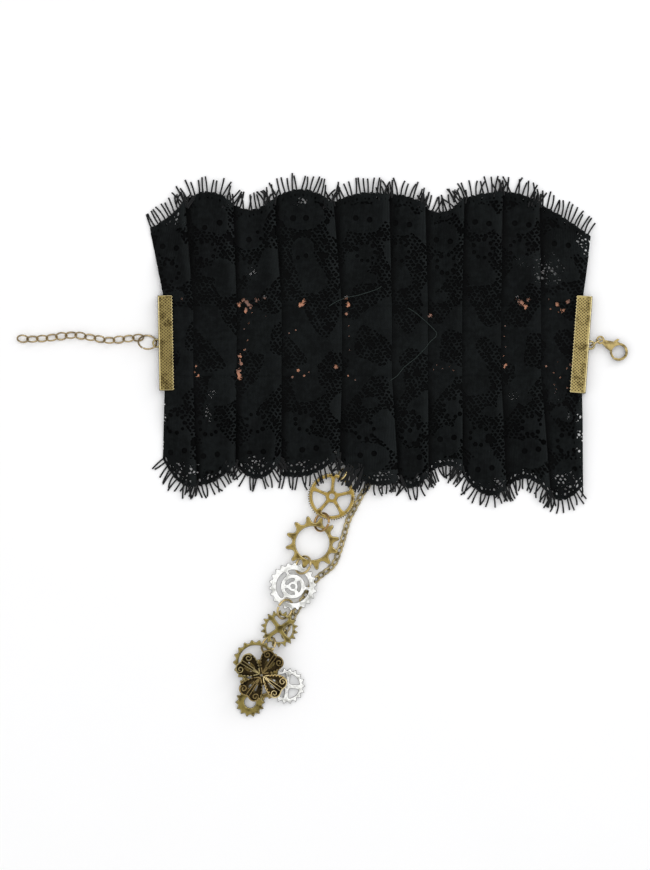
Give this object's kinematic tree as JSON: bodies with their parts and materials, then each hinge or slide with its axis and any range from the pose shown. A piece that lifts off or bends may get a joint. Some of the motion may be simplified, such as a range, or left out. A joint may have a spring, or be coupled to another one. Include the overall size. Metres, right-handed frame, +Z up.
{
  "type": "lace armband with a gear drop",
  "caption": "Pleated black lace armband lying open, with ribbon clamps, an extension chain, a lobster clasp and a drop of gears on jump rings.",
  "frame": {"origin": "under the middle of the backing strip, on the surface that the armband lies on", "axes": "+X along the band from the extension chain to the clasp, +Y across it away from the drop, +Z up"},
  "size_m": [0.2036, 0.1799, 0.0062],
  "materials": {
    "lace": "matte synthetic lace",
    "strip": "copper satin",
    "cord": "plain cord",
    "bronze": "antique bronze plating, dark in its recesses and bright on its edges",
    "dark_bronze": "antique bronze plating, dark in its recesses and bright on its edges",
    "silver": "matte silver plating"
  },
  "bodies": {
    "armband": {"backing_strip": "strip", "pleated_lace": "lace", "hanger_cord": "cord", "clamp_left": "bronze", "clamp_right": "bronze", "extension_chain": "bronze", "fine_chain": "bronze", "extender_ring": "bronze", "clasp_ring": "bronze", "clasp_body": "bronze", "gear_spoked": "bronze", "gear_ring": "bronze", "gear_silver": "silver", "gear_small": "bronze", "gear_ring_top": "bronze", "gear_ring_upper": "bronze", "gear_ring_middle": "bronze", "gear_ring_lower": "bronze", "cluster_ring": "bronze", "cluster_gear_ring": "dark_bronze", "cluster_gear_square": "dark_bronze", "cluster_gear_bronze": "dark_bronze", "cluster_gear_silver": "silver", "filigree_flower": "dark_bronze"},
    "lever": {"clasp_lever": "bronze"}
  },
  "joints": [
    {"name": "clasp_lever_hinge", "type": "hinge", "parent": "armband", "child": "lever", "pos_m": [0.07888, -0.00024, 0.00112], "axis": [0, 0, 1], "range_deg": [0, 24], "stiffness_Nm_per_rad": 0.002, "springref_deg": -11.46}
  ]
}
